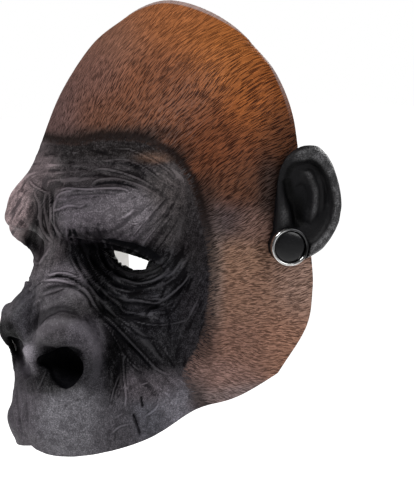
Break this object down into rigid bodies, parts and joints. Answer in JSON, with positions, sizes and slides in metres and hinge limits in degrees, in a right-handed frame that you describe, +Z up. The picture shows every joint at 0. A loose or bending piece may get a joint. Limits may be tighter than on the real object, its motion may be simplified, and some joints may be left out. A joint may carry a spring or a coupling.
{
  "type": "animal half mask",
  "caption": "Thin latex gorilla half mask with brow, nose and upper lip, open eye and breathing holes, cupped ears and a round button at each ear.",
  "frame": {"origin": "centre of the head opening, midway between the two ear buttons", "axes": "+Z up to the crown, the face looks along -Y, and the mask's own left side is +X"},
  "size_m": [0.2146, 0.1328, 0.2365],
  "materials": {
    "painted_latex": "satin, painted brown and black",
    "black_latex": "satin",
    "ring_metal": "polished",
    "cap_plastic": "gloss",
    "post_plastic": "matt"
  },
  "bodies": {
    "root": {"mask_shell": "painted_latex", "ear_left": "black_latex", "ear_right": "black_latex", "button_ring_left": "ring_metal", "button_ring_right": "ring_metal", "button_cap_left": "cap_plastic", "button_cap_right": "cap_plastic", "rivet_post_left": "post_plastic", "rivet_post_right": "post_plastic"}
  },
  "joints": []
}
